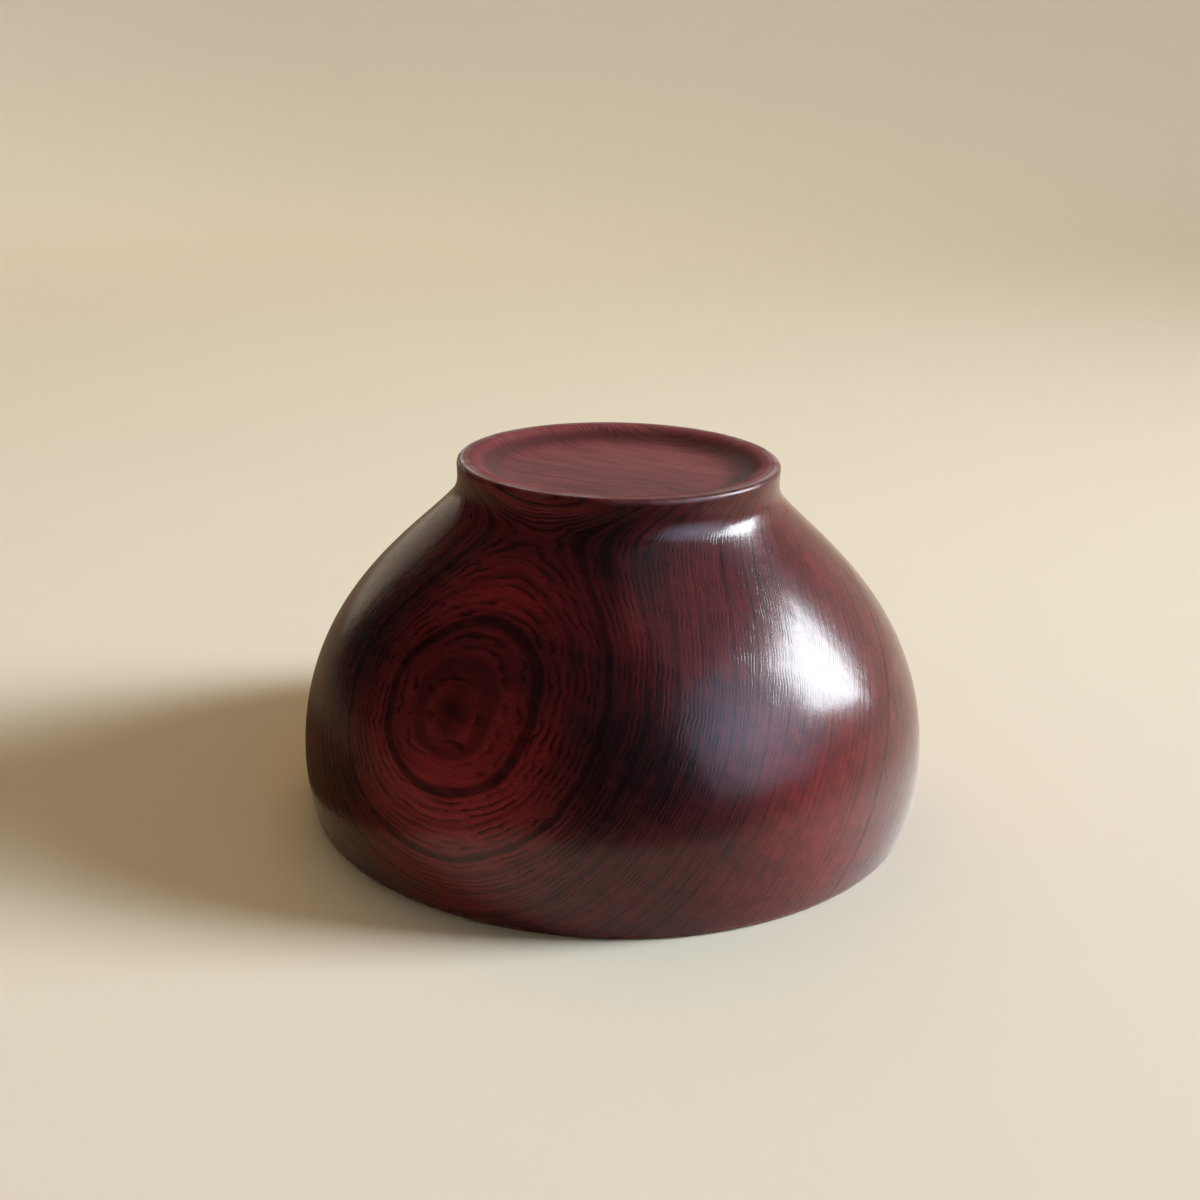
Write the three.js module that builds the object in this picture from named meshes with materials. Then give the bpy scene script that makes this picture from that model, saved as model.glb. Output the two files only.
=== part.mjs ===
// A turned wooden soup bowl with a wiped lacquer finish, standing upside down on its rim as it is stored.
// Millimetres, +Z up. The origin is the centre of the rim's standing edge, and +Z runs up to the foot.
// The wood is one piece from rim to foot. Three lacquer films lie on it: outside, inside and foot recess.
import * as THREE from "three";

// Outside of the finished bowl
const HEIGHT = 68; // from the rim's edge to the foot's standing ring
const BELLY_RADIUS = 60; // the widest place of the wall
const BELLY_HEIGHT = 11.6; // the widest place above the rim's edge
const MOUTH_RADIUS = 58.6; // the wall just above the rim's edge
const BELLY_PULL = 27.5; // how far the wall keeps upright above the belly
const SHOULDER_PULL = 11.8; // how far the underside keeps straight below the foot
const SHOULDER_SLOPE = THREE.MathUtils.degToRad(48); // the underside where it meets the foot, from level

// Rim
const LIP_THICKNESS = 3.2; // the wall at the rim
const LIP_FLAT = 1; // width of the standing edge between the lip's two rounds
const LIP_CURVE = (LIP_THICKNESS - LIP_FLAT) / 2; // width of each round
const LIP_ROUND = 1.2; // height of each round

// Inside
const WALL = 4.2; // the wall at the belly
const BASE = 6; // wood between the inside and the foot's recess
const WELL_PULL = 29; // how far the inner wall keeps upright above the belly
const WELL_FLOOR = 33; // how far the inside keeps level around its middle

// Foot
const FOOT_RADIUS = 30.3; // outside of the standing ring
const NECK_RADIUS = 30.1; // the foot's wall where it leaves the underside
const FOOT_HEIGHT = 5.9; // from that corner to the standing ring
const NECK_FILLET = 2.6; // the hollow that softens the corner, along each side
const FOOT_EDGE = 1.2; // round on the standing ring's outer edge
const FOOT_LAND = 2.2; // width of the standing ring, with its rounded edge
const RECESS_DEPTH = 2.6; // the foot's recess below the standing ring
const RECESS_BROW = 1.2; // round from the ring over into the recess, along each side
const RECESS_SLOPE = THREE.MathUtils.degToRad(30); // the recess where it leaves that round, from level
const RECESS_FLOOR = 19; // radius of the recess's level floor

// Lacquer
const LACQUER = 0.1; // thickness of each film
const FEATHER = 2; // length over which a film is wiped out to nothing at a standing edge

// Faceting
const SAG = 0.075; // how far a facet may stand off the true curve
const QUARTER = Math.ceil((Math.PI / 4) * Math.sqrt(BELLY_RADIUS / (2 * SAG))); // facets in a quarter turn

const at = (radius, height) => new THREE.Vector2(radius, height);
const line = (from, to) => new THREE.LineCurve(from, to);
const arc = (from, corner, to) => new THREE.QuadraticBezierCurve(from, corner, to);
const sweep = (...points) => new THREE.CubicBezierCurve(...points);

// The point at a height on the straight line through two points.
function onLine(from, to, height) {
  return from.clone().lerp(to, (height - from.y) / (to.y - from.y));
}

// A curve's count of chords: the sag of n even chords is its length times its turn, over 8 n squared.
function chords(curve) {
  const turn = curve.getTangent(0).angleTo(curve.getTangent(1));
  return Math.max(1, Math.ceil(Math.sqrt((curve.getLength() * turn) / (8 * SAG))));
}

// The points along curves laid end to end.
function trace(...curves) {
  return curves.flatMap((curve, i) => curve.getPoints(chords(curve)).slice(i ? 1 : 0));
}

// One face of the wall from the rim's standing edge round the lip and up to the belly.
function lipToBelly(edgeRadius, lipRadius, bellyRadius) {
  const edge = at(edgeRadius, 0);
  const lip = at(lipRadius, LIP_ROUND);
  const bend = at(bellyRadius, (LIP_ROUND + BELLY_HEIGHT) / 2);
  const belly = at(bellyRadius, BELLY_HEIGHT);
  return trace(arc(edge, onLine(bend, lip, 0), lip), arc(lip, bend, belly));
}

// The finished outside, from the rim's standing edge over the belly and the neck to the foot's ring.
function outside() {
  const wall = lipToBelly(MOUTH_RADIUS - LIP_CURVE, MOUTH_RADIUS, BELLY_RADIUS);
  const belly = wall.at(-1);
  const bellyPull = at(BELLY_RADIUS, BELLY_HEIGHT + BELLY_PULL);
  const downSlope = at(Math.cos(SHOULDER_SLOPE), -Math.sin(SHOULDER_SLOPE));
  const neckCorner = at(NECK_RADIUS, HEIGHT - FOOT_HEIGHT);
  const slopeEnd = neckCorner.clone().addScaledVector(downSlope, NECK_FILLET);
  const slopePull = slopeEnd.clone().addScaledVector(downSlope, SHOULDER_PULL);
  const footCorner = at(FOOT_RADIUS, HEIGHT);
  const neck = onLine(neckCorner, footCorner, neckCorner.y + NECK_FILLET);
  const footEdge = onLine(neckCorner, footCorner, HEIGHT - FOOT_EDGE);
  const ring = at(FOOT_RADIUS - FOOT_EDGE, HEIGHT);
  const upToRing = trace(
    sweep(belly, bellyPull, slopePull, slopeEnd),
    arc(slopeEnd, neckCorner, neck),
    line(neck, footEdge),
    arc(footEdge, footCorner, ring),
  );
  return [...wall, ...upToRing.slice(1)];
}

// The finished inside, from the middle of the floor down the wall to the rim's standing edge.
function inside() {
  const lip = MOUTH_RADIUS - LIP_THICKNESS;
  const wall = lipToBelly(lip + LIP_CURVE, lip, BELLY_RADIUS - WALL).reverse();
  const belly = wall[0];
  const bellyPull = at(belly.x, BELLY_HEIGHT + WELL_PULL);
  const floor = at(0, HEIGHT - RECESS_DEPTH - BASE);
  const floorPull = at(WELL_FLOOR, floor.y);
  return [...trace(sweep(floor, floorPull, bellyPull, belly)), ...wall.slice(1)];
}

// The finished recess of the foot, from the ring over its soft inner edge and down a long hollow to the middle.
function recess() {
  const mouth = at(FOOT_RADIUS - FOOT_LAND, HEIGHT);
  const brow = at(mouth.x - RECESS_BROW, mouth.y);
  const fall = at(-Math.cos(RECESS_SLOPE), -Math.sin(RECESS_SLOPE));
  const slope = brow.clone().addScaledVector(fall, RECESS_BROW);
  const hollow = brow.clone().addScaledVector(fall, RECESS_DEPTH / Math.sin(RECESS_SLOPE));
  const floor = at(RECESS_FLOOR, hollow.y);
  return trace(arc(mouth, brow, slope), arc(slope, hollow, floor), line(floor, at(0, floor.y)));
}

// The wood under a finished surface, which lies on the left of its outline's run. Each point stands back by
// the film's thickness, which comes down to nothing at a standing edge: an end that isn't on the axis.
function woodUnder(outline) {
  const last = outline.length - 1;
  const ends = [0, last].filter((end) => outline[end].x > 0);
  return outline.map((point, i) => {
    const run = outline[Math.min(i + 1, last)].clone().sub(outline[Math.max(i - 1, 0)]).normalize();
    const back = point.x > 0 ? at(-run.y, run.x) : at(0, Math.sign(run.x));
    const toEdge = Math.min(...ends.map((end) => point.distanceTo(outline[end])));
    return point.clone().addScaledVector(back, LACQUER * Math.min(1, toEdge / FEATHER));
  });
}

// A solid turned about the upright axis from an outline of radius and height.
function turned(name, outline, material) {
  const geometry = new THREE.LatheGeometry(outline, 4 * QUARTER).rotateX(Math.PI / 2);
  const mesh = new THREE.Mesh(geometry, material);
  mesh.name = name;
  return mesh;
}

// A film between a finished surface and the wood under it.
function film(name, finished, wood, material) {
  return turned(name, [...finished, ...[...wood].reverse()], material);
}

const wood = new THREE.MeshStandardMaterial({ color: 0x4a1c17, roughness: 0.5, metalness: 0 });
const gloss = new THREE.MeshStandardMaterial({ color: 0x5a1a1b, roughness: 0.14, metalness: 0 });
const wiped = new THREE.MeshStandardMaterial({ color: 0x6b2a2c, roughness: 0.3, metalness: 0 });

const finishedInside = inside();
const finishedOutside = outside();
const finishedRecess = recess();
const woodInside = woodUnder(finishedInside);
const woodOutside = woodUnder(finishedOutside);
const woodRecess = woodUnder(finishedRecess);

const bowl = new THREE.Group();
bowl.add(
  turned("turned_wood_body", [...woodInside, ...woodOutside, ...woodRecess], wood),
  film("outside_lacquer", finishedOutside, woodOutside, gloss),
  film("inside_lacquer", finishedInside, woodInside, gloss),
  film("foot_recess_lacquer", finishedRecess, woodRecess, wiped),
);

export default bowl;
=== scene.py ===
import math

import bpy
from mathutils import Matrix, Vector


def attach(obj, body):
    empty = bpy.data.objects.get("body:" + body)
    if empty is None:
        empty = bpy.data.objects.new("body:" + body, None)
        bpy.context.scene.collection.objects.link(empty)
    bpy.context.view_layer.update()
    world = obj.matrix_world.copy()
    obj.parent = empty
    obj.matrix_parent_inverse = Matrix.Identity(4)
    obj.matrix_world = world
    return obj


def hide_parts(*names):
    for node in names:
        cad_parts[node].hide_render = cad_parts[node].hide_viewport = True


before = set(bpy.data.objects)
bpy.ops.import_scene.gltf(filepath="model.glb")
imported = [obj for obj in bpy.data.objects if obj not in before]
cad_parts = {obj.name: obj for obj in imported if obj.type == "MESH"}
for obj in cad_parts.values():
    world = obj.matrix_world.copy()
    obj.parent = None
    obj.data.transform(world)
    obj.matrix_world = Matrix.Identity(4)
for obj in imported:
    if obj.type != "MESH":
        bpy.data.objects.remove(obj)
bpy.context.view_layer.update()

# Turned body: one blank of ring-porous hardwood, hollowed and shaped on a lathe from rim to foot.
# Lacquer is wiped off its two standing edges, so that only soaked wood shows under the rim and on
# the foot's ring.
MM = 0.001
HEIGHT = 68 * MM
BELLY_RADIUS = 60 * MM
BELLY_HEIGHT = 11.6 * MM
BELLY_PULL = 27.5 * MM
MOUTH_RADIUS = 58.6 * MM
SHOULDER_PULL = 11.8 * MM
SHOULDER_SLOPE = math.radians(48)
LIP_THICKNESS = 3.2 * MM
LIP_FLAT = 1 * MM
LIP_CURVE = (LIP_THICKNESS - LIP_FLAT) / 2
LIP_ROUND = 1.2 * MM
WALL = 4.2 * MM
BASE = 6 * MM
WELL_PULL = 29 * MM
WELL_FLOOR = 33 * MM
FOOT_RADIUS = 30.3 * MM
NECK_RADIUS = 30.1 * MM
FOOT_HEIGHT = 5.9 * MM
NECK_FILLET = 2.6 * MM
FOOT_EDGE = 1.2 * MM
FOOT_LAND = 2.2 * MM
RECESS_DEPTH = 2.6 * MM
RECESS_BROW = 1.2 * MM
RECESS_SLOPE = math.radians(30)
RECESS_FLOOR = 19 * MM
LACQUER = 0.1 * MM
FEATHER = 2 * MM
TURN_STEPS = 192
WALL_STEPS = 56
FILLET_STEPS = 12
HOLLOW_STEPS = 16
ROUND_STEPS = 8
NECK_STEPS = 3
FLOOR_STEPS = 12
SAME_POINT = 0.0005 * MM
CREASE = math.radians(35)


def at(radius, height):
    return Vector((radius, height))


def curve(*corners, steps):
    """Points along the smooth curve that a run of corners pulls, by halving between them."""
    points = []
    for step in range(steps + 1):
        pulled = list(corners)
        while len(pulled) > 1:
            pulled = [a.lerp(b, step / steps) for a, b in zip(pulled, pulled[1:])]
        points.append(pulled[0])
    return points


def joined(*runs):
    """Runs of points laid end to end, without their shared ends."""
    return list(runs[0]) + [point for run in runs[1:] for point in run[1:]]


def on_line(start, end, height):
    return start.lerp(end, (height - start.y) / (end.y - start.y))


def lip_to_belly(edge_radius, lip_radius, belly_radius):
    lip = at(lip_radius, LIP_ROUND)
    bend = at(belly_radius, (LIP_ROUND + BELLY_HEIGHT) / 2)
    round_lip = curve(at(edge_radius, 0), on_line(bend, lip, 0), lip, steps=ROUND_STEPS)
    return joined(round_lip, curve(lip, bend, at(belly_radius, BELLY_HEIGHT), steps=ROUND_STEPS))


def outside():
    wall = lip_to_belly(MOUTH_RADIUS - LIP_CURVE, MOUTH_RADIUS, BELLY_RADIUS)
    down_slope = at(math.cos(SHOULDER_SLOPE), -math.sin(SHOULDER_SLOPE))
    neck_corner = at(NECK_RADIUS, HEIGHT - FOOT_HEIGHT)
    slope_end = neck_corner + down_slope * NECK_FILLET
    slope_pull = slope_end + down_slope * SHOULDER_PULL
    foot_corner = at(FOOT_RADIUS, HEIGHT)
    neck = on_line(neck_corner, foot_corner, neck_corner.y + NECK_FILLET)
    foot_edge = on_line(neck_corner, foot_corner, HEIGHT - FOOT_EDGE)
    belly_pull = at(BELLY_RADIUS, BELLY_HEIGHT + BELLY_PULL)
    return joined(
        wall,
        curve(wall[-1], belly_pull, slope_pull, slope_end, steps=WALL_STEPS),
        curve(slope_end, neck_corner, neck, steps=FILLET_STEPS),
        curve(neck, foot_edge, steps=NECK_STEPS),
        curve(foot_edge, foot_corner, at(FOOT_RADIUS - FOOT_EDGE, HEIGHT), steps=ROUND_STEPS),
    )


def inside():
    lip = MOUTH_RADIUS - LIP_THICKNESS
    wall = lip_to_belly(lip + LIP_CURVE, lip, BELLY_RADIUS - WALL)[::-1]
    belly_pull = at(wall[0].x, BELLY_HEIGHT + WELL_PULL)
    floor = at(0, HEIGHT - RECESS_DEPTH - BASE)
    well = curve(floor, at(WELL_FLOOR, floor.y), belly_pull, wall[0], steps=WALL_STEPS)
    return joined(well, wall)


def recess():
    mouth = at(FOOT_RADIUS - FOOT_LAND, HEIGHT)
    brow = at(mouth.x - RECESS_BROW, mouth.y)
    fall = at(-math.cos(RECESS_SLOPE), -math.sin(RECESS_SLOPE))
    slope = brow + fall * RECESS_BROW
    hollow = brow + fall * (RECESS_DEPTH / math.sin(RECESS_SLOPE))
    floor = at(RECESS_FLOOR, hollow.y)
    return joined(
        curve(mouth, brow, slope, steps=ROUND_STEPS),
        curve(slope, hollow, floor, steps=HOLLOW_STEPS),
        curve(floor, at(0, floor.y), steps=FLOOR_STEPS),
    )


def wood_under(outline):
    """The wood under a finished outline, bare only where the film feathers out at a standing edge."""
    last = len(outline) - 1
    edges = [end for end in (outline[0], outline[last]) if end.x > 0]
    wood = []
    for i, point in enumerate(outline):
        run = (outline[min(i + 1, last)] - outline[max(i - 1, 0)]).normalized()
        back = at(-run.y, run.x) if point.x > 0 else at(0, math.copysign(1, run.x))
        to_edge = min((point - edge).length for edge in edges)
        wood.append(point + back * LACQUER * min(1, to_edge / FEATHER))
    return wood


def turned(name, outline):
    """A solid turned about the upright axis: a point is drawn out along the outline, which is
    then spun round."""
    bpy.ops.object.select_all(action="DESELECT")
    bpy.ops.mesh.primitive_plane_add(size=MM)
    piece = bpy.context.object
    piece.name = piece.data.name = name
    bpy.ops.object.mode_set(mode="EDIT")
    bpy.ops.mesh.select_all(action="SELECT")
    bpy.ops.mesh.merge(type="CENTER")
    bpy.ops.transform.translate(value=(outline[0].x, 0, outline[0].y))
    for start, end in zip(outline, outline[1:]):
        step = end - start
        bpy.ops.mesh.extrude_region_move(TRANSFORM_OT_translate={"value": (step.x, 0, step.y)})
    bpy.ops.mesh.select_all(action="SELECT")
    bpy.ops.mesh.spin(steps=TURN_STEPS, angle=2 * math.pi, center=(0, 0, 0), axis=(0, 0, 1))
    bpy.ops.mesh.select_all(action="SELECT")
    bpy.ops.mesh.remove_doubles(threshold=SAME_POINT)
    bpy.ops.mesh.normals_make_consistent(inside=False)
    bpy.ops.object.mode_set(mode="OBJECT")
    bpy.ops.object.shade_smooth_by_angle(angle=CREASE)
    return piece


def add(tree, kind, feeds=(), **settings):
    """A node with its settings, each feed a value or a socket for one of its inputs."""
    node = tree.nodes.new(kind)
    for name, value in settings.items():
        setattr(node, name, value)
    for name, value in dict(feeds).items():
        if isinstance(value, bpy.types.NodeSocket):
            tree.links.new(value, node.inputs[name])
        else:
            node.inputs[name].default_value = value
    return node


def sums(tree, operation, *feeds):
    return add(tree, "ShaderNodeMath", dict(enumerate(feeds)), operation=operation).outputs[0]


def ramp(tree, feed, *stops):
    """A run of grey levels over a value: each stop is a place and a level."""
    node = add(tree, "ShaderNodeValToRGB", {"Fac": feed})
    elements = node.color_ramp.elements
    while len(elements) < len(stops):
        elements.new(0.5)
    for element, (place, level) in zip(elements, stops):
        element.position = place
        element.color = (level, level, level, 1)
    return node.outputs["Color"]


# How the blank was cut from its log, in millimetres: the fibres lie nearly level, and the yearly
# rings close into a bull's-eye left of the front. A first ring is its depth there, its strength
# and its width. A patch is its place, its reach and how much paler it is.
BULLSEYE = Vector((-24.5, -46.5, 37.6))
TO_BARK = Vector((-0.418, -0.752, 0.510)).normalized()
FIBRE = TO_BARK.cross(Vector((0.838, -0.536, -0.103))).cross(TO_BARK).normalized()
LOG_RADIUS = 200
YEAR = 1.25
YEAR_DRIFT = 1.4
FIRST_RINGS = (
    (0.0, 0.9, 0.3), (0.42, 0.7, 0.3), (0.95, 0.3, 0.3), (1.63, 1.0, 0.5), (3.15, 0.5, 0.3), (5.2, 0.9, 0.5),
)
FIRST_RINGS_FROM, FIRST_RINGS_TO = -1, 7
RING_RISE = 0.6
RING_FADE = 0.16
COMB_LINES = 2.4
COMB_WANDER = 1.5
COMB_STRENGTH = 0.9
PORE_STRENGTH = 0.5
TONE_BY_DEPTH = (
    (0, 0.36), (0.5, 0.56), (1.6, 0.64), (2.6, 0.68), (3.4, 0.5), (4.4, 0.36),
    (6, 0.34), (14.5, 0.34), (20, 0.36), (26, 0.56), (29.5, 0.68),
)
TONE_END = 30
TONE_RANGE, TONE_START = 0.56, -0.48
CLOUDS = 0.48
STREAKS = 0.64
STREAK_SPREAD = 0.07
PATCHES = (
    ((-27, -52, 21), 24, 0.54), ((3, -54, 33), 22, -0.24), ((0, -30, 63), 14, -0.2),
    ((-44, -25, 40), 18, -0.16), ((-7, -45, 46), 12, -0.24), ((-21, -33, 53), 12, 0.18),
    ((38, -47, 12), 20, 0.2),
)
NOISE_MIDDLE = 0.5


def wood_grain():
    """The grain of the whole blank, with the fibres along X and the log's pith as the X axis."""
    tree = bpy.data.node_groups.new("wood_grain", "ShaderNodeTree")
    for name in ("Marks", "Tone", "Polish", "Wear", "Recess_shade"):
        tree.interface.new_socket(name, in_out="OUTPUT", socket_type="NodeSocketFloat")
    out = add(tree, "NodeGroupOutput")
    to_log = Matrix((FIBRE, TO_BARK.cross(FIBRE), TO_BARK))
    pith = BULLSEYE - TO_BARK * LOG_RADIUS
    place = add(tree, "ShaderNodeTexCoord").outputs["Object"]
    log = add(tree, "ShaderNodeMapping", {
        "Vector": place, "Scale": (1 / MM,) * 3, "Rotation": to_log.to_euler(), "Location": -(to_log @ pith),
    }).outputs["Vector"]

    def noise(along, across, detail=2, roughness=0.5, where=log):
        stretch = (1 / along, 1 / across, 1 / across)
        stretched = add(tree, "ShaderNodeVectorMath", {0: where, 1: stretch}, operation="MULTIPLY").outputs[0]
        feeds = {"Vector": stretched, "Scale": 1, "Detail": detail, "Roughness": roughness}
        return add(tree, "ShaderNodeTexNoise", feeds).outputs["Fac"]

    across = add(tree, "ShaderNodeVectorMath", {0: log, 1: (0, 1, 1)}, operation="MULTIPLY").outputs[0]
    from_pith = add(tree, "ShaderNodeVectorMath", {0: across}, operation="LENGTH").outputs["Value"]
    depth = sums(tree, "SUBTRACT", LOG_RADIUS + NOISE_MIDDLE, sums(tree, "ADD", from_pith, noise(30, 14, 3)))

    stops = []
    for edge, strength, width in FIRST_RINGS:
        stops += [
            (edge - width, 0), (edge - RING_RISE * width, 0.85 * strength), (edge, 0.9 * strength),
            (edge + RING_FADE, 0),
        ]
    span = FIRST_RINGS_TO - FIRST_RINGS_FROM
    first_place = sums(tree, "MULTIPLY_ADD", depth, 1 / span, -FIRST_RINGS_FROM / span)
    first = ramp(tree, first_place, *[((stop - FIRST_RINGS_FROM) / span, level) for stop, level in stops])

    wander = {"W": depth, "Scale": 0.3, "Detail": 0}
    uneven = add(tree, "ShaderNodeTexNoise", wander, noise_dimensions="1D").outputs["Fac"]
    years = sums(tree, "MULTIPLY_ADD", uneven, YEAR_DRIFT, sums(tree, "DIVIDE", depth, YEAR))
    year = sums(tree, "FLOOR", years)
    vigour = add(tree, "ShaderNodeTexWhiteNoise", {"W": year}, noise_dimensions="1D").outputs["Value"]
    vigour = sums(tree, "MULTIPLY_ADD", vigour, 0.65, 0.25)
    season = sums(tree, "SUBTRACT", years, year)
    early = ramp(tree, season, (0.0, 0.4), (0.06, 0.0), (0.58, 0.1), (0.76, 0.8), (0.94, 1.0), (1.0, 0.4))
    past_first = ramp(tree, first_place, (0.84, 0), (0.92, 1))
    worn = ramp(tree, noise(9, 1.6, 3, 0.6), (0.3, 0.4), (0.6, 1.0))
    first = sums(tree, "MULTIPLY", first, sums(tree, "MULTIPLY_ADD", worn, 0.5, 0.5))
    later = sums(tree, "MULTIPLY", early, vigour)
    later = sums(tree, "MULTIPLY", later, sums(tree, "MULTIPLY", past_first, worn))
    ring = sums(tree, "MAXIMUM", first, later)

    comb_bend = sums(tree, "MULTIPLY", noise(8, 2.6), COMB_WANDER)
    comb_place = sums(tree, "MULTIPLY_ADD", depth, COMB_LINES, comb_bend)
    comb = ramp(tree, sums(tree, "FRACT", comb_place), (0.0, 0.0), (0.15, 1.0), (0.4, 0.7), (0.65, 0.0))
    broken = ramp(tree, noise(10, 2.5), (0.36, 0.1), (0.6, 1.0))
    fine = sums(tree, "MULTIPLY", sums(tree, "MULTIPLY", comb, broken), COMB_STRENGTH)
    pores = ramp(tree, noise(4.5, 0.24, 2, 0.6), (0.50, 0.0), (0.66, 1.0))
    pores = sums(tree, "MULTIPLY", pores, PORE_STRENGTH)
    marks = sums(tree, "MAXIMUM", sums(tree, "MAXIMUM", ring, fine), pores)

    tone_place = sums(tree, "DIVIDE", depth, TONE_END)
    by_depth = ramp(tree, tone_place, *[(stop / TONE_END, level) for stop, level in TONE_BY_DEPTH])
    tone = sums(tree, "MULTIPLY_ADD", by_depth, TONE_RANGE, TONE_START)
    for patch, reach, paler in PATCHES:
        feeds = {0: log, 1: to_log @ (Vector(patch) - pith)}
        distance = add(tree, "ShaderNodeVectorMath", feeds, operation="DISTANCE").outputs["Value"]
        share = ramp(tree, sums(tree, "DIVIDE", distance, reach), (0.2, 1.0), (1.0, 0.0))
        tone = sums(tree, "MULTIPLY_ADD", share, paler, tone)
    tone = sums(tree, "MULTIPLY_ADD", noise(40, 16), CLOUDS, tone)
    sides = add(tree, "ShaderNodeSeparateXYZ", {"Vector": log}).outputs
    layers = {"X": sides["X"], "Y": sums(tree, "MULTIPLY", sides["Y"], STREAK_SPREAD), "Z": depth}
    layered = add(tree, "ShaderNodeCombineXYZ", layers).outputs["Vector"]
    streaked = {0: noise(40, 0.8, 4, 0.6, where=layered), 1: STREAKS, 2: tone}
    tone = add(tree, "ShaderNodeMath", streaked, operation="MULTIPLY_ADD", use_clamp=True).outputs[0]

    height = add(tree, "ShaderNodeSeparateXYZ", {"Vector": place}).outputs["Z"]
    height = sums(tree, "DIVIDE", height, HEIGHT)
    edges = ramp(tree, height, (0.004, 1.0), (0.03, 0.0), (0.98, 0.0), (0.996, 1.0))
    wear = sums(tree, "MULTIPLY", edges, ramp(tree, noise(6, 6, 3, 0.5), (0.4, 0.2), (0.65, 1.0)))
    # Painted shade on the foot's recess: a band over its sloping wall, from the brow down to its floor.
    recess_shade_mask = ramp(tree, height, (0.962, 0.0), (0.972, 1.0), (0.984, 1.0), (0.996, 0.0))
    polish = noise(25, 25, 4, 0.6)
    results = {"Marks": marks, "Tone": tone, "Polish": polish, "Wear": wear, "Recess_shade": recess_shade_mask}
    for name, socket in results.items():
        tree.links.new(socket, out.inputs[name])
    return tree


GRAIN = wood_grain()
WEAR_COLOUR = 0.35
WEAR_DULLNESS = 0.4
POLISH_SPREAD = 0.08
HAZE_ON_WOOD, HAZE_LOST_IN_MARKS = 1.15, 0.8
HAZE_DULLNESS = 0.4
LACQUER_IOR = 1.38


def finish(
    piece, name, deep, clear, filled, worn, dullness, pore_dullness, relief, gloss=0.5, haze=0, recess_shade=0,
):
    """Wood grain under a finish: two tones of the wood, the colour that fills its pores and the
    colour of its worn edges, then how dull the finish is, how dull in the pores, how deep they are,
    how much gloss it has, how hazy that is, and how much painted shade darkens the recess's wall."""
    material = bpy.data.materials.new(name)
    material.use_nodes = True
    tree = material.node_tree
    shader = tree.nodes["Principled BSDF"]
    grain = add(tree, "ShaderNodeGroup", node_tree=GRAIN)
    marks, wear = grain.outputs["Marks"], grain.outputs["Wear"]

    def blend(share, first, second):
        return add(tree, "ShaderNodeMix", {0: share, 6: first, 7: second}, data_type="RGBA").outputs[2]

    wood = blend(marks, blend(grain.outputs["Tone"], deep, clear), filled)
    # Painted shade: the recess's wall is darkened towards the pore colour.
    wood = blend(sums(tree, "MULTIPLY", grain.outputs["Recess_shade"], recess_shade), wood, filled)
    wood = blend(sums(tree, "MULTIPLY", wear, WEAR_COLOUR), wood, worn)
    tree.links.new(wood, shader.inputs["Base Color"])
    least_dull = dullness - POLISH_SPREAD * NOISE_MIDDLE
    polished = sums(tree, "MULTIPLY_ADD", grain.outputs["Polish"], POLISH_SPREAD, least_dull)
    dull = sums(tree, "MULTIPLY_ADD", marks, pore_dullness - dullness, polished)
    tree.links.new(sums(tree, "MULTIPLY_ADD", wear, WEAR_DULLNESS, dull), shader.inputs["Roughness"])
    bump = add(tree, "ShaderNodeBump", {"Strength": 1.0, "Distance": relief, "Height": marks}, invert=True)
    tree.links.new(bump.outputs["Normal"], shader.inputs["Normal"])
    shader.inputs["IOR"].default_value = LACQUER_IOR
    shader.inputs["Specular IOR Level"].default_value = gloss
    if haze:
        coat = sums(tree, "MULTIPLY_ADD", marks, -HAZE_LOST_IN_MARKS * haze, HAZE_ON_WOOD * haze)
        tree.links.new(coat, shader.inputs["Coat Weight"])
    shader.inputs["Coat Roughness"].default_value = HAZE_DULLNESS
    piece.data.materials.append(material)


finished_inside = inside()
finished_outside = outside()
finished_recess = recess()
wood_inside = wood_under(finished_inside)
wood_outside = wood_under(finished_outside)
wood_recess = wood_under(finished_recess)
body = turned("turned_body", wood_inside + wood_outside + wood_recess)
finish(
    body, "soaked_wood", deep=(0.1, 0.02, 0.022, 1), clear=(0.275, 0.058, 0.063, 1),
    filled=(0.05, 0.01, 0.011, 1), worn=(0.2, 0.06, 0.05, 1), dullness=0.42, pore_dullness=0.55,
    relief=0.01 * MM,
)
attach(body, "root")
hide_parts("turned_wood_body")

# Outside lacquer: thin coats of clear wine-red lacquer, each rubbed into the outside with a cloth
# and polished. The rings and pores show through it, and it feathers out at the rim's edge and at
# the foot's ring.
RED_COATS = {
    "deep": (0.012, 0.0008, 0.0015, 1), "clear": (0.235, 0.011, 0.015, 1),
    "filled": (0.006, 0.0008, 0.001, 1), "worn": (0.16, 0.035, 0.03, 1),
    "relief": 0.014 * MM, "haze": 0.25,
}
outside_film = turned("outside_lacquer_film", finished_outside + wood_outside[::-1])
finish(outside_film, "outside_lacquer", dullness=0.13, pore_dullness=0.2, **RED_COATS)
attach(outside_film, "root")
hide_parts("outside_lacquer")

# Inside lacquer: the same coats, rubbed into the hollow as a job of their own, from the floor down
# to the rim. They are polished a little less than the outside.
inside_film = turned("inside_lacquer_film", finished_inside + wood_inside[::-1])
finish(inside_film, "inside_lacquer", dullness=0.15, pore_dullness=0.22, **RED_COATS)
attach(inside_film, "root")
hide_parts("inside_lacquer")

# Lacquer of the foot's recess: laid last, thinner, and not polished, so that it stays dull and
# paler. Painted shade darkens it where the recess's wall comes down to its floor.
recess_film = turned("recess_lacquer_film", finished_recess + wood_recess[::-1])
finish(
    recess_film, "recess_lacquer", deep=(0.09, 0.018, 0.02, 1), clear=(0.325, 0.058, 0.065, 1),
    filled=(0.04, 0.005, 0.006, 1), worn=(0.2, 0.05, 0.045, 1), dullness=0.6, pore_dullness=0.68,
    relief=0.006 * MM, gloss=0.3, recess_shade=0.75,
)
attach(recess_film, "root")
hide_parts("foot_recess_lacquer")

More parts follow.
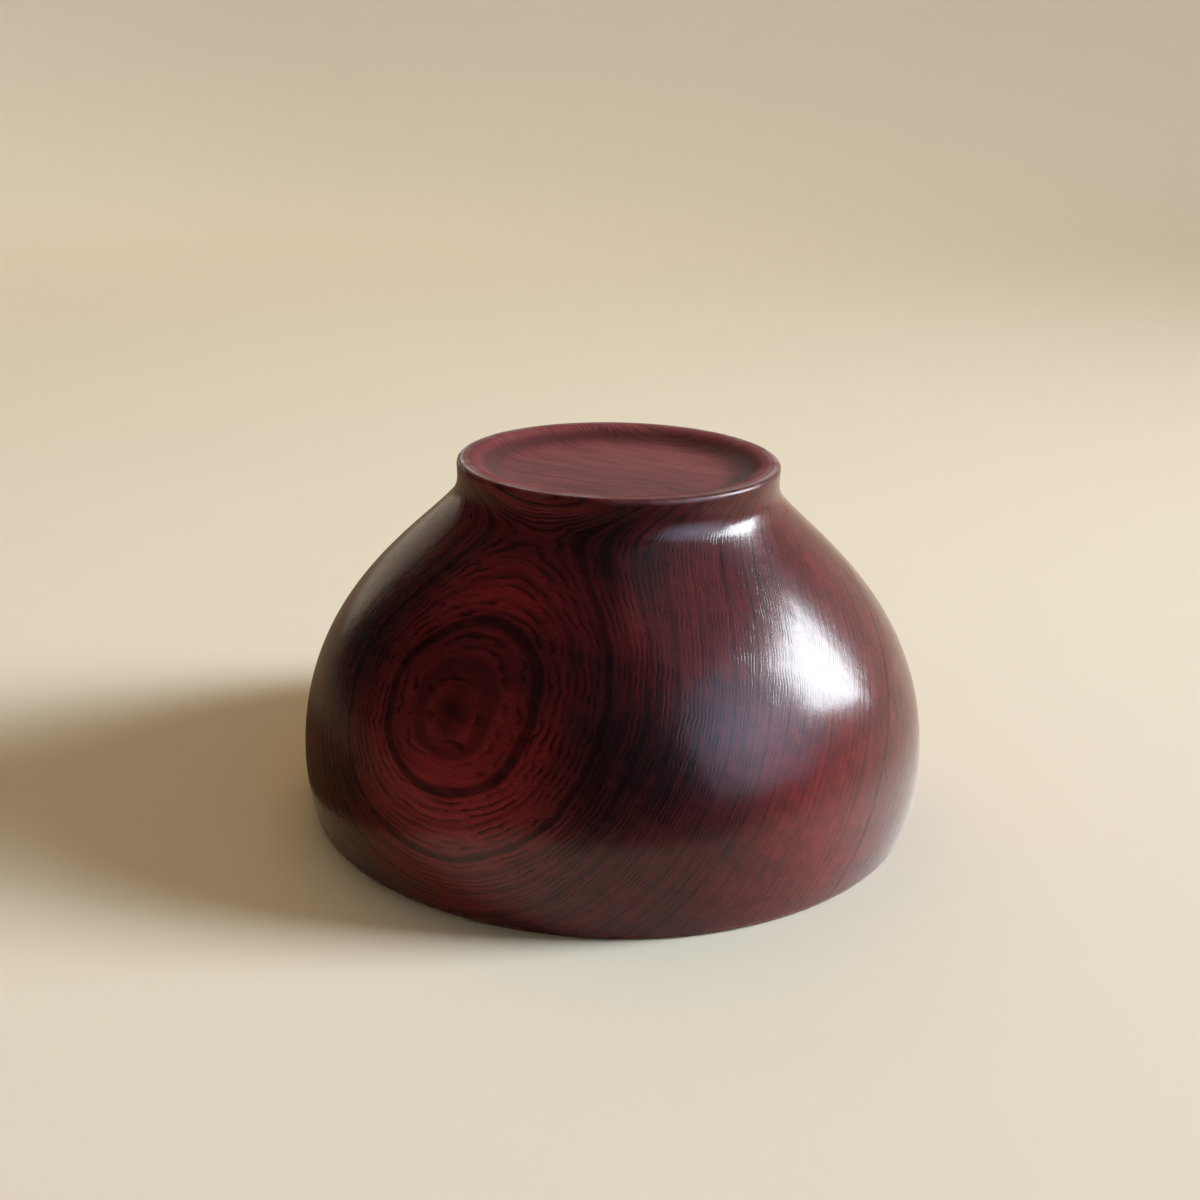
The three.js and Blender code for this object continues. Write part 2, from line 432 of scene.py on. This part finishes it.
# The set: a plain pale floor that sweeps up all round, and the camera at the photograph's place. A
# window at the right lights the bowl, as one lamp for the light and one for its gloss. Weaker lamps
# fill in, light the backdrop and, with a few cards, give the gloss something to mirror.
FLAT_RADIUS = 0.9
SWEEP_LEVEL = 1.5
SWEEP_BEND = 2.2
SWEEP_RADIUS = 2.4
SWEEP_RISE = 1.5
SWEEP_STEPS = 32
PALE = (0.76, 0.69, 0.57, 1)
sweep = (at(FLAT_RADIUS, 0), at(SWEEP_LEVEL, 0), at(SWEEP_BEND, 0), at(SWEEP_RADIUS, SWEEP_RISE))
floor = turned("floor", joined(
    curve(at(0, 0), at(FLAT_RADIUS, 0), steps=1),
    curve(*sweep, steps=SWEEP_STEPS),
))
pale = bpy.data.materials.new("pale_floor")
pale.use_nodes = True
pale_shader = pale.node_tree.nodes["Principled BSDF"]
pale_shader.inputs["Base Color"].default_value = PALE
pale_shader.inputs["Roughness"].default_value = 1
pale_shader.inputs["Specular IOR Level"].default_value = 0
floor.data.materials.append(pale)


def soft_box(
    name, place, width, height, brightness, colour, aim=(0, 0, HEIGHT / 2), turn=None, spread=180, only=None,
):
    """A flat lamp of a set brightness, aimed at the bowl's middle unless told otherwise. A grid can
    narrow its spread, and it can be kept to the light on surfaces only, or to the gloss only."""
    turn = turn or (Vector(place) - Vector(aim)).to_track_quat("Z", "Y").to_euler()
    bpy.ops.object.light_add(type="AREA", location=place, rotation=turn)
    lamp = bpy.context.object
    lamp.name = name
    lamp.data.shape = "RECTANGLE"
    lamp.data.size, lamp.data.size_y = width, height
    lamp.data.energy = brightness * math.pi * width * height
    lamp.data.spread = math.radians(spread)
    if spread < 180:
        half = lamp.data.spread / 2
        lamp.data.energy *= 1 - half / math.tan(half)
    lamp.data.color = colour
    lamp.visible_camera = False
    lamp.visible_diffuse = only != "gloss"
    lamp.visible_glossy = only != "light"


DAYLIGHT = (0.86, 0.94, 1)
window_turn = [math.radians(angle) for angle in (43.6, -46.8, -177.9)]
soft_box("window_box", (1.531, 0.066, 0.787), 0.76, 1.02, 28, DAYLIGHT, turn=window_turn, only="gloss")
soft_box(
    "window_light", (1.837, 0.079, 0.944), 0.74, 0.74, 63, (0.84, 0.93, 1), aim=(-0.6, 0, 0), spread=60,
    only="light",
)
soft_box("side_box", (0.541, -0.34, 0.335), 0.68, 0.62, 5.6, (0.58, 0.74, 1), spread=64, only="gloss")
soft_box("top_box", (0.33, -0.207, 0.74), 0.45, 0.5, 0.4, (0.9, 0.95, 1))
soft_box("wall_box", (0.1, 0.95, 0.5), 0.9, 0.7, 0.95, (1, 0.95, 0.92), only="gloss")
soft_box("corner_box", (0.84, 0.5, 0.25), 0.95, 0.4, 0.15, (1, 0.86, 1), only="gloss")
soft_box("fill_box", (-0.3, 0.8, 1.4), 1.6, 1.6, 1.1, (1, 0.66, 0.3), only="light")
BACKDROP_LIGHT = (3, 1.6, 3.4, 2.4)
BACKDROP_BOX_HEIGHT = Vector((0, 0, 0.9))
BACKDROP_AIM = 2.1
for side, brightness in enumerate(BACKDROP_LIGHT):
    out = Vector((math.sin(side * math.pi / 2), math.cos(side * math.pi / 2), 0))
    place = out + BACKDROP_BOX_HEIGHT
    soft_box(f"backdrop_box_{side + 1}", place, 2, 0.4, brightness, DAYLIGHT, aim=out * BACKDROP_AIM)


def gloss_card(name, low, high, colour, glow=0):
    """A card between two corners, which only the gloss sees: it sets how dark or pale a side of the
    gloss is. It can glow, most in its middle and fading out to its sides."""
    low, high = Vector(low), Vector(high)
    bpy.ops.object.select_all(action="DESELECT")
    bpy.ops.mesh.primitive_cube_add(size=1)
    card = bpy.context.object
    card.name = name
    bpy.ops.object.mode_set(mode="EDIT")
    bpy.ops.mesh.select_all(action="SELECT")
    bpy.ops.transform.resize(value=high - low)
    bpy.ops.transform.translate(value=(low + high) / 2)
    bpy.ops.object.mode_set(mode="OBJECT")
    cover = bpy.data.materials.new(name)
    cover.use_nodes = True
    tree = cover.node_tree
    shader = tree.nodes["Principled BSDF"]
    shader.inputs["Base Color"].default_value = colour
    shader.inputs["Roughness"].default_value = 1
    if glow:
        place = add(tree, "ShaderNodeTexCoord").outputs["Object"]
        spots = {0: place, 1: (low + high) / 2}
        away = add(tree, "ShaderNodeVectorMath", spots, operation="DISTANCE").outputs["Value"]
        reach = {"Value": away, "From Min": 0, "From Max": (high - low).x / 2, "To Min": glow, "To Max": 0}
        fade = add(tree, "ShaderNodeMapRange", reach, interpolation_type="SMOOTHSTEP").outputs[0]
        tree.links.new(fade, shader.inputs["Emission Strength"])
        shader.inputs["Emission Color"].default_value = GLOW
    card.data.materials.append(cover)
    card.visible_camera = card.visible_diffuse = card.visible_shadow = False


BLACK = (0.01, 0.01, 0.01, 1)
# The left card's brown is painted shadow: the gloss mirrors it as floor lying in the bowl's shadow.
SHADOW_BROWN = (0.18, 0.115, 0.055, 1)
GLOW = (0.8, 0.93, 0.95, 1)
NEAR = -0.128
CURTAIN_HEIGHT = 0.72
gloss_card("card_before_the_bowl", (-0.9, -0.9, 0.001), (0.9, NEAR, 0.002), BLACK)
gloss_card("card_left_of_the_bowl", (-0.9, NEAR, 0.001), (-0.062, 0.9, 0.002), SHADOW_BROWN)
# The right card glows as a painted reflection: brighter, window-lit floor, seen only in the gloss.
gloss_card("card_right_of_the_bowl", (0.002, -0.114, 0.0004), (0.162, 0.046, 0.0008), PALE, glow=0.85)
gloss_card("front_curtain", (-0.9, -0.91, 0), (0.9, -0.9, CURTAIN_HEIGHT), BLACK)
gloss_card("left_curtain", (-0.91, -0.9, 0), (-0.9, 0.9, CURTAIN_HEIGHT), BLACK)

bpy.context.scene.world = bpy.data.worlds.new("studio")
bpy.context.scene.world.use_nodes = True
air = bpy.context.scene.world.node_tree.nodes["Background"]
air.inputs["Color"].default_value = (1.0, 0.95, 0.9, 1)
air.inputs["Strength"].default_value = 0.05

CAMERA_PLACE = Vector((0, -282.85, 137.99)) * MM
CAMERA_AIM = Vector((-2.96, 0, 39.52)) * MM
CAMERA_ROLL = math.radians(1.213)
SENSOR_WIDTH = 36
LENS = 46.5
bpy.ops.object.camera_add(location=CAMERA_PLACE)
camera = bpy.context.object
away = (CAMERA_PLACE - CAMERA_AIM).normalized()
level = Vector((0, 0, 1)).cross(away).normalized()
right = level * math.cos(CAMERA_ROLL) + away.cross(level) * math.sin(CAMERA_ROLL)
camera.rotation_euler = Matrix((right, away.cross(right), away)).transposed().to_euler()
camera.data.sensor_width = SENSOR_WIDTH
camera.data.lens = LENS
camera.data.clip_start = 10 * MM
bpy.context.scene.camera = camera
bpy.context.scene.view_settings.view_transform = "Standard"
